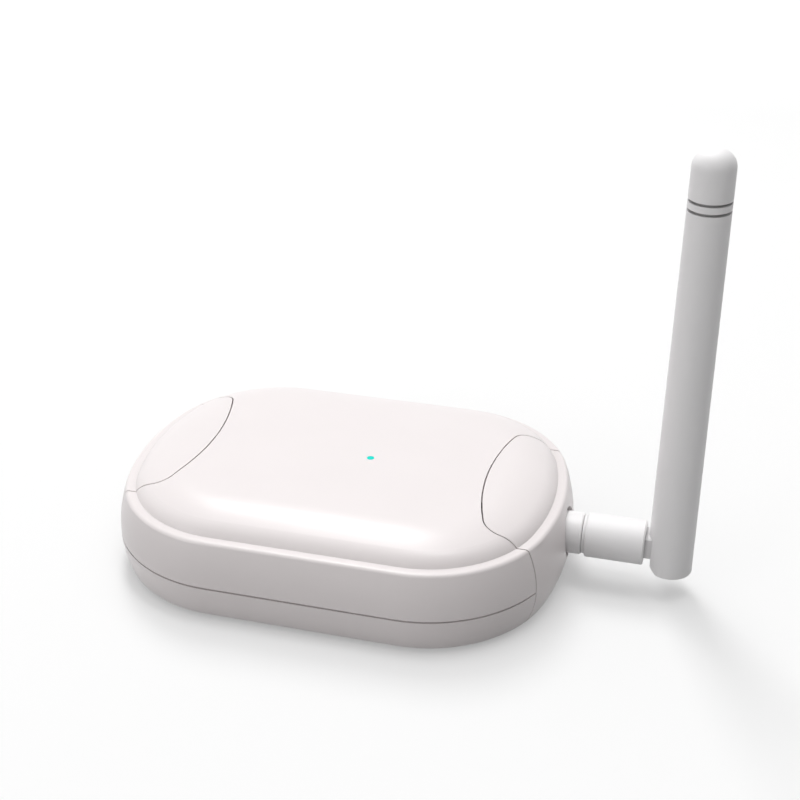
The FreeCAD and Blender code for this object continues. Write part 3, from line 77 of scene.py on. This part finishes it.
class Graph:
    """Short calls for building one material's node tree."""

    def __init__(self, mat):
        self.tree = mat.node_tree

    def add(self, kind, **props):
        node = self.tree.nodes.new(kind)
        for key, value in props.items():
            setattr(node, key, value)
        return node

    def link(self, a, b):
        self.tree.links.new(a, b)

    def coords(self):
        return self.add("ShaderNodeTexCoord").outputs["Object"]

    def noise(self, where, scale, detail=2.0, rough=0.5):
        n = self.add("ShaderNodeTexNoise")
        n.inputs["Scale"].default_value = scale
        n.inputs["Detail"].default_value = detail
        n.inputs["Roughness"].default_value = rough
        self.link(where, n.inputs["Vector"])
        return n.outputs["Fac"]

    def ramp(self, fac, stops):
        r = self.add("ShaderNodeValToRGB")
        els = r.color_ramp.elements
        while len(els) < len(stops):
            els.new(0.5)
        for el, (pos, col) in zip(els, stops):
            el.position = pos
            el.color = (*col, 1)
        self.link(fac, r.inputs["Fac"])
        return r.outputs["Color"]

    def span(self, fac, low, high, start=0.0, end=1.0):
        """Carry a value from the range start to end over to the range low to high."""
        m = self.add("ShaderNodeMapRange")
        m.inputs["From Min"].default_value = start
        m.inputs["From Max"].default_value = end
        m.inputs["To Min"].default_value = low
        m.inputs["To Max"].default_value = high
        self.link(fac, m.inputs["Value"])
        return m.outputs["Result"]

    def shelter(self, reach, **props):
        """How open a point is to its surroundings within a distance, used for painted shade."""
        painted_shade = self.add("ShaderNodeAmbientOcclusion", samples=12, **props)
        painted_shade.inputs["Distance"].default_value = reach
        return painted_shade.outputs["AO"]

    def paint_occlusion_shade(self, color, reach_mm, darkest):
        """Paint shade into a colour where a point is closed in: in a piece's grooves and at the foot of a
        step.
        """
        scaled = self.add("ShaderNodeVectorMath", operation="SCALE")
        self.link(color, scaled.inputs[0])
        open_share = self.shelter(reach_mm * MM, only_local=True)
        self.link(self.span(open_share, darkest, 1.0), scaled.inputs["Scale"])
        return scaled.outputs[0]

    def bump(self, height, distance):
        b = self.add("ShaderNodeBump")
        b.inputs["Distance"].default_value = distance
        self.link(height, b.inputs["Height"])
        return b.outputs["Normal"]

    def surface(self, color, roughness, normal=None, **sockets):
        bsdf = self.add("ShaderNodeBsdfPrincipled")
        self.link(color, bsdf.inputs["Base Color"])
        if isinstance(roughness, float):
            bsdf.inputs["Roughness"].default_value = roughness
        else:
            self.link(roughness, bsdf.inputs["Roughness"])
        for key, value in sockets.items():
            bsdf.inputs[key].default_value = value
        if normal is not None:
            self.link(normal, bsdf.inputs["Normal"])
        out = self.add("ShaderNodeOutputMaterial")
        self.link(bsdf.outputs["BSDF"], out.inputs["Surface"])
        return bsdf


def shade(color, factor):
    return tuple(min(1.0, c * factor) for c in color)


def moulded(name, color, rough, grain_mm, depth_mm, ior=1.46, spread=0.02, tone=0.01, painted_shade=(1.0, 0.8)):
    """Moulded plastic: faint cloudiness, painted shade in grooves and at the foot of steps, roughness
    patches and a fine spark-eroded grain.
    """
    mat = new_material(name)
    g = Graph(mat)
    where = g.coords()
    cloud = g.noise(where, 1 / (18 * MM), 3.0)
    tint = g.ramp(cloud, [(0.3, shade(color, 1 - tone)), (0.7, shade(color, 1 + tone / 2))])
    # Painted shade: the colour darkens where the surface is closed in.
    tint = g.paint_occlusion_shade(tint, *painted_shade)
    patch = g.noise(where, 1 / (6 * MM), 4.0, 0.6)
    grain = g.noise(where, 1 / (grain_mm * MM), 2.0, 0.6)
    normal = g.bump(grain, depth_mm * MM)
    g.surface(tint, g.span(patch, rough - spread, rough + spread), normal, IOR=ior)
    return mat


def metal(name, color, rough, grain_mm=0.4, depth_mm=0.002):
    mat = new_material(name)
    g = Graph(mat)
    where = g.coords()
    patch = g.noise(where, 1 / (2.5 * MM), 3.0)
    tint = g.ramp(patch, [(0.25, shade(color, 0.9)), (0.75, shade(color, 1.05))])
    grain = g.noise(where, 1 / (grain_mm * MM), 3.0, 0.6)
    normal = g.bump(grain, depth_mm * MM)
    g.surface(tint, g.span(patch, rough - 0.06, rough + 0.08), normal, Metallic=1.0)
    return mat


WARM_WHITE = (0.88, 0.828, 0.826)
WHIP_WHITE = (0.955, 0.942, 0.946)

looks = {
    # The last pair of each finish sets its painted shade in grooves and at the foot of steps: reach in
    # millimetres and darkest share.
    "shell_white": moulded("shell_white", WARM_WHITE, 0.29, 0.35, 0.0012, ior=1.42, painted_shade=(6.0, 0.5)),
    "antenna_white": moulded("antenna_white", WHIP_WHITE, 0.46, 0.22, 0.004, painted_shade=(0.9, 0.36)),
    "nut_white": moulded("nut_white", WHIP_WHITE, 0.30, 0.25, 0.002, painted_shade=(0.9, 0.8)),
    "foot_rubber": moulded("foot_rubber", (0.09, 0.09, 0.095), 0.75, 0.3, 0.02, tone=0.1),
    "screw_steel": metal("screw_steel", (0.62, 0.62, 0.64), 0.3),
    "board_green": moulded("board_green", (0.02, 0.12, 0.05), 0.3, 0.5, 0.01, tone=0.15),
    "module_blue": moulded("module_blue", (0.02, 0.05, 0.16), 0.3, 0.5, 0.01, tone=0.15),
    "can_steel": metal("can_steel", (0.70, 0.70, 0.68), 0.28),
    "chip_black": moulded("chip_black", (0.02, 0.02, 0.022), 0.55, 0.12, 0.01, tone=0.1),
    "capacitor_aluminium": metal("capacitor_aluminium", (0.78, 0.78, 0.80), 0.25),
    "inlet_steel": metal("inlet_steel", (0.66, 0.66, 0.67), 0.24),
    "button_grey": moulded("button_grey", (0.12, 0.125, 0.13), 0.4, 0.2, 0.006, tone=0.06),
    "gold_brass": metal("gold_brass", (0.83, 0.61, 0.25), 0.22),
    "insulator_white": moulded("insulator_white", (0.85, 0.85, 0.82), 0.35, 0.3, 0.004),
}


def lamp_glow():
    """Clear plug lit from below, glowing evenly with a faint grain."""
    mat = new_material("lamp_cyan")
    g = Graph(mat)
    where = g.coords()
    grain = g.noise(where, 1 / (0.15 * MM), 2.0)
    tint = g.ramp(grain, [(0.3, (0.0, 0.62, 0.54)), (0.7, (0.0, 0.72, 0.63))])
    bsdf = g.surface(tint, 0.3, IOR=1.4)
    g.link(tint, bsdf.inputs["Emission Color"])
    bsdf.inputs["Emission Strength"].default_value = 0.16
    bsdf.inputs["Specular IOR Level"].default_value = 0.15
    return mat


looks["lamp_cyan"] = lamp_glow()

slot_of = {row["node"]: row["material_slot"] for row in frame["record"]["subparts"]}
for name, obj in nodes.items():
    obj.data.materials.clear()
    obj.data.materials.append(looks[slot_of[name]])

# Screws in the base, all sizes in millimetres

HEAD_RADIUS = 2.1
HEAD_HEIGHT = 1.6
SHANK_RADIUS = 1.25
SHANK_LENGTH = 10.0
THREAD_PITCH = 0.9
THREAD_DEPTH = 0.3
RECESS_REACH = 1.25
RECESS_HALF_WIDTH = 0.34
RECESS_DEPTH = 0.95
POINTS_AROUND = 48
HEAD_STEPS = 24
THREAD_STEPS = 60


def rings_mesh(rings):
    """Closed surface through rings of equally many points; the first and last close to a point."""
    count = len(rings[0])
    verts = [point for ring in rings for point in ring]
    faces = []
    for i in range(len(rings) - 1):
        for j in range(count):
            k = (j + 1) % count
            faces.append((i * count + j, i * count + k, (i + 1) * count + k, (i + 1) * count + j))
    for ring, turn in ((0, -1), (len(rings) - 1, 1)):
        middle = [sum(point[a] for point in rings[ring]) / count for a in range(3)]
        verts.append(middle)
        base = ring * count
        for j in range(count):
            pair = (base + j, base + (j + 1) % count)
            faces.append((*(pair if turn > 0 else pair[::-1]), len(verts) - 1))
    return verts, faces


def smooth_step(value):
    """Ease from 0 to 1 without a corner at either end."""
    value = min(1.0, max(0.0, value))
    return value * value * (3 - 2 * value)


def cross_depth(x, y):
    """Depth of the cross recess in the head at a point of its face."""
    deepest = 0.0
    for along, across in ((abs(x), abs(y)), (abs(y), abs(x))):
        side = smooth_step((RECESS_HALF_WIDTH - across) / 0.10)
        tip = smooth_step((RECESS_REACH - along) / 0.12)
        deepest = max(deepest, side * tip * (RECESS_DEPTH - 0.45 * along / RECESS_REACH))
    return deepest


def screw_rings():
    """Pan head with a cross recess, face at zero and shank upwards, with a forming thread."""
    rings = []
    angles = [2 * math.pi * j / POINTS_AROUND for j in range(POINTS_AROUND)]
    for i in range(1, HEAD_STEPS + 1):
        r = (HEAD_RADIUS - 0.05) * i / HEAD_STEPS
        dome = 0.5 * (r / HEAD_RADIUS) ** 4
        ring = []
        for a in angles:
            x, y = r * math.cos(a), r * math.sin(a)
            ring.append((x, y, dome + cross_depth(x, y)))
        rings.append(ring)
    for r, z in (
        (HEAD_RADIUS - 0.01, 0.58),
        (HEAD_RADIUS, 0.7),
        (HEAD_RADIUS, HEAD_HEIGHT - 0.12),
        (HEAD_RADIUS - 0.04, HEAD_HEIGHT - 0.04),
        (HEAD_RADIUS - 0.14, HEAD_HEIGHT),
        (SHANK_RADIUS + 0.1, HEAD_HEIGHT),
        (SHANK_RADIUS - 0.1, HEAD_HEIGHT + 0.08),
    ):
        rings.append([(r * math.cos(a), r * math.sin(a), z) for a in angles])
    start = HEAD_HEIGHT + 0.5
    end = HEAD_HEIGHT + SHANK_LENGTH
    for i in range(THREAD_STEPS + 1):
        z = start + (end - start) * i / THREAD_STEPS
        taper = 1 - 0.55 * smooth_step((z - end + 1.6) / 1.6)
        grow = smooth_step((z - start) / THREAD_PITCH)
        ring = []
        for a in angles:
            phase = (z / THREAD_PITCH - a / (2 * math.pi)) % 1.0
            crest = max(0.0, 1 - abs(phase - 0.5) * 3.4)
            r = (SHANK_RADIUS - THREAD_DEPTH + 0.28 * crest * grow) * taper
            ring.append((r * math.cos(a), r * math.sin(a), z))
        rings.append(ring)
    return rings


def add_piece(name, verts, faces, body, slot, smooth=True):
    """Mesh object with outward normals that rides on a body and takes a slot's finish."""
    mesh = bpy.data.meshes.new(name)
    mesh.from_pydata(verts, [], faces)
    work = bmesh.new()
    work.from_mesh(mesh)
    bmesh.ops.recalc_face_normals(work, faces=work.faces)
    work.to_mesh(mesh)
    work.free()
    mesh.polygons.foreach_set("use_smooth", [smooth] * len(mesh.polygons))
    if smooth:
        mesh.set_sharp_from_angle(angle=math.radians(42))
    obj = bpy.data.objects.new(name, mesh)
    bpy.context.scene.collection.objects.link(obj)
    mesh.materials.append(looks[slot])
    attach(obj, body)
    return obj


def case_screws():
    """Four screws in the CAD node's places, each turned differently, as screws are left."""
    low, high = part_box("case_screws")
    x_place = high[0] / MM - HEAD_RADIUS
    y_place = high[1] / MM - HEAD_RADIUS
    face = low[2] / MM
    screw, screw_faces = rings_mesh(screw_rings())
    verts, faces = [], []
    for index, (side_x, side_y) in enumerate(((1, 1), (-1, 1), (1, -1), (-1, -1))):
        spin = 0.4 + 0.9 * index
        c, s = math.cos(spin), math.sin(spin)
        first = len(verts)
        for x, y, z in screw:
            across_x = side_x * x_place + x * c - y * s
            across_y = side_y * y_place + x * s + y * c
            verts.append((across_x * MM, across_y * MM, (face + z) * MM))
        faces += [tuple(first + v for v in f) for f in screw_faces]
    piece = add_piece("case_screws_cross", verts, faces, "housing", "screw_steel")
    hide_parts("case_screws")


case_screws()

# Contacts on the tongue of the inlet, all sizes in millimetres

CONTACTS_A_SIDE = 12
CONTACT_PITCH = 0.5
CONTACT_HALF_WIDTH = 0.13
CONTACT_PROUD = 0.035
CONTACT_SUNK = 0.02
CONTACT_BEVEL = 0.03
CONTACT_BACK = 4.6
TONGUE_HALF = 0.35
LONG_CONTACTS = (0, 3, 8, 11)


def inlet_contacts():
    """Two rows of twelve plated strips, a little proud of the tongue."""
    low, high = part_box("inlet_tongue")
    x_front = low[0] / MM
    z_mid = (low[2] + high[2]) / 2 / MM
    bevel = CONTACT_BEVEL
    verts, faces = [], []
    for side in (1, -1):
        z0 = z_mid + side * (TONGUE_HALF - CONTACT_SUNK)
        z1 = z_mid + side * (TONGUE_HALF + CONTACT_PROUD)
        for i in range(CONTACTS_A_SIDE):
            middle = (i - (CONTACTS_A_SIDE - 1) / 2) * CONTACT_PITCH
            x0 = x_front + (0.35 if i in LONG_CONTACTS else 0.75)
            x1 = x_front + CONTACT_BACK
            y0, y1 = middle - CONTACT_HALF_WIDTH, middle + CONTACT_HALF_WIDTH
            foot = [(x0, y0), (x1, y0), (x1, y1), (x0, y1)]
            top = [
                (x0 + bevel, y0 + bevel), (x1 - bevel, y0 + bevel),
                (x1 - bevel, y1 - bevel), (x0 + bevel, y1 - bevel),
            ]
            first = len(verts)
            verts += [(x * MM, y * MM, z0 * MM) for x, y in foot]
            verts += [(x * MM, y * MM, z1 * MM) for x, y in top]
            faces += [tuple(first + v for v in f) for f in (
                (0, 1, 2, 3), (4, 5, 6, 7), (0, 1, 5, 4), (1, 2, 6, 5), (2, 3, 7, 6), (3, 0, 4, 7),
            )]
    add_piece("inlet_contacts", verts, faces, "housing", "gold_brass", smooth=False)


inlet_contacts()

# Floor


def plain_mesh(name, verts, faces):
    mesh = bpy.data.meshes.new(name)
    mesh.from_pydata(verts, [], faces)
    obj = bpy.data.objects.new(name, mesh)
    bpy.context.scene.collection.objects.link(obj)
    return obj


def is_seen(g):
    """1 for rays that show the stage directly, in gloss or through something clear."""
    path = g.add("ShaderNodeLightPath")
    a = g.add("ShaderNodeMath", operation="MAXIMUM")
    g.link(path.outputs["Is Camera Ray"], a.inputs[0])
    g.link(path.outputs["Is Glossy Ray"], a.inputs[1])
    b = g.add("ShaderNodeMath", operation="MAXIMUM")
    g.link(a.outputs[0], b.inputs[0])
    g.link(path.outputs["Is Transmission Ray"], b.inputs[1])
    return b.outputs[0]


def show(g, lighting, shown, output):
    """One shader for the light that reaches the object, another for what is seen."""
    pick = g.add("ShaderNodeMixShader")
    g.link(is_seen(g), pick.inputs[0])
    g.link(lighting.outputs[0], pick.inputs[1])
    g.link(shown.outputs[0], pick.inputs[2])
    g.link(pick.outputs[0], g.add(output).inputs["Surface"])


FLOOR_HALF = 3.0
FLOOR_BOUNCE = 0.36
FLOOR_SEEN = 0.56
FLOOR_LIFT = 0.42
FAR_LIFT = 0.98
LIFT_START = 0.4
LIFT_END = 1.8
SHADE_REACH = 0.06
SHADE_LEFT = 0.7

floor_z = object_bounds()[0][2]
corners = ((-1, -1), (1, -1), (1, 1), (-1, 1))
floor = plain_mesh(
    "floor", [(x * FLOOR_HALF, y * FLOOR_HALF, floor_z) for x, y in corners], [(0, 1, 2, 3)],
)
mat = new_material("floor_white")
g = Graph(mat)
dull = g.add("ShaderNodeBsdfDiffuse")
dull.inputs["Color"].default_value = (FLOOR_BOUNCE,) * 3 + (1,)
bright = g.add("ShaderNodeBsdfDiffuse")
bright.inputs["Color"].default_value = (FLOOR_SEEN,) * 3 + (1,)
lift = g.add("ShaderNodeEmission")
lift.inputs["Color"].default_value = (1, 1, 1, 1)
# Further out the lamps reach the floor less, so the lift rises; close to the object it falls
reach = g.add("ShaderNodeVectorMath", operation="LENGTH")
g.link(g.coords(), reach.inputs[0])
rise = g.span(reach.outputs["Value"], FLOOR_LIFT, FAR_LIFT, LIFT_START, LIFT_END)
# Painted shadow: the lift dims where the object closes the floor in, deepening the shadow round it.
lift_with_painted_shadow = g.add("ShaderNodeMath", operation="MULTIPLY")
g.link(rise, lift_with_painted_shadow.inputs[0])
g.link(g.span(g.shelter(SHADE_REACH), SHADE_LEFT, 1.0), lift_with_painted_shadow.inputs[1])
g.link(lift_with_painted_shadow.outputs[0], lift.inputs["Strength"])
add = g.add("ShaderNodeAddShader")
g.link(bright.outputs[0], add.inputs[0])
g.link(lift.outputs[0], add.inputs[1])
show(g, dull, add, "ShaderNodeOutputMaterial")
floor.data.materials.append(mat)

# Light

WORLD_FILL = 0.355
WORLD_LEAN = 0.30
world = bpy.data.worlds.new("studio")
bpy.context.scene.world = world
world.use_nodes = True
world.node_tree.nodes.clear()
g = Graph(world)
fill = g.add("ShaderNodeBackground")
fill.inputs["Color"].default_value = (1, 1, 1, 1)
axes = g.add("ShaderNodeSeparateXYZ")
g.link(g.add("ShaderNodeTexCoord").outputs["Generated"], axes.inputs["Vector"])
left_fill, right_fill = WORLD_FILL * (1 + WORLD_LEAN), WORLD_FILL * (1 - WORLD_LEAN)
g.link(g.span(axes.outputs["X"], left_fill, right_fill, -1.0, 1.0), fill.inputs["Strength"])
seen = g.add("ShaderNodeBackground")
seen.inputs["Color"].default_value = (1, 1, 1, 1)
seen.inputs["Strength"].default_value = 1.0
show(g, fill, seen, "ShaderNodeOutputWorld")


def softbox(name, place, target, size_x, size_y, watts):
    """Rectangular lamp at a place, aimed at a target."""
    lamp = bpy.data.lights.new(name, "AREA")
    lamp.shape = "RECTANGLE"
    lamp.size = size_x
    lamp.size_y = size_y
    lamp.energy = watts
    obj = bpy.data.objects.new(name, lamp)
    bpy.context.scene.collection.objects.link(obj)
    obj.location = place
    aim = Vector(target) - Vector(place)
    obj.rotation_euler = aim.to_track_quat("-Z", "Y").to_euler()


softbox("key_back", (-0.28, 0.56, 1.0), (0, 0, 0.02), 0.28, 0.52, 5.0)
softbox("key_top", (0.03, 0.05, 1.0), (0, 0, 0.02), 0.50, 0.14, 1.9)
softbox("ceiling", (0.05, 0.10, 1.1), (0.02, 0, 0.02), 1.1, 1.1, 2.4)
softbox("side_left", (-0.75, -1.0, 0.40), (0, 0, 0.03), 0.7, 0.6, 2.8)

# Camera

camera_data = bpy.data.cameras.new("camera")
camera_data.lens = 60.57
camera_data.sensor_width = 36.0
camera_data.clip_start = 0.01
camera = bpy.data.objects.new("camera", camera_data)
bpy.context.scene.collection.objects.link(camera)
camera.location = (0.08044, -0.25412, 0.17846)
camera.rotation_euler = (math.radians(61.99), 0, math.radians(15.02))
bpy.context.scene.camera = camera
bpy.context.scene.view_settings.view_transform = "Standard"
